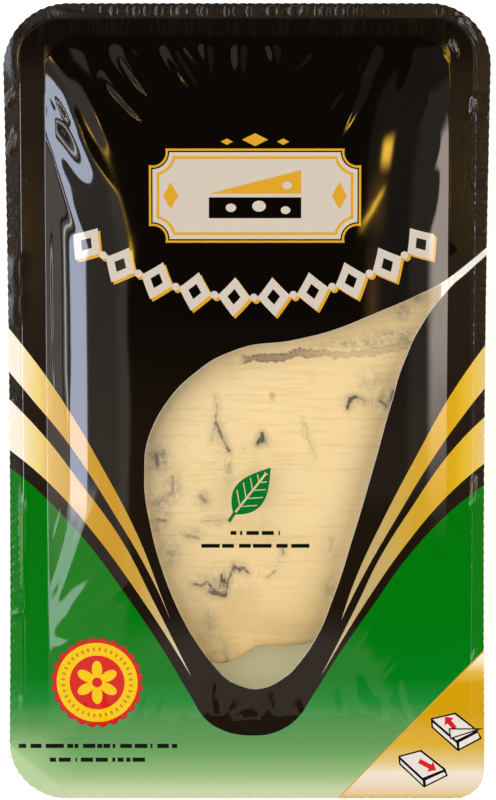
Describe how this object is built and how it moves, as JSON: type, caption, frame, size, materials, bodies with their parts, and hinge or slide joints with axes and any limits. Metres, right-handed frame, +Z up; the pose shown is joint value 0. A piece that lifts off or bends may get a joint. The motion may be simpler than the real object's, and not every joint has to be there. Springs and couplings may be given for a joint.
{
  "type": "sealed pack of gorgonzola cheese",
  "caption": "Wedge of blue cheese in a clear wedge-shaped tray, sealed under a printed film with a drop-shaped clear window.",
  "frame": {"origin": "on the ground, under the middle of the pack's outer box", "axes": "+Z up, +Y towards the pack's thick end, +X to the right when the print is read from above"},
  "size_m": [0.1216, 0.2006, 0.0334],
  "materials": {
    "tray_plastic": "clear gloss",
    "printed_film": "gloss print",
    "cheese": "moist satin"
  },
  "bodies": {
    "root": {"tray": "tray_plastic", "lid_film": "printed_film", "cheese": "cheese"}
  },
  "joints": []
}
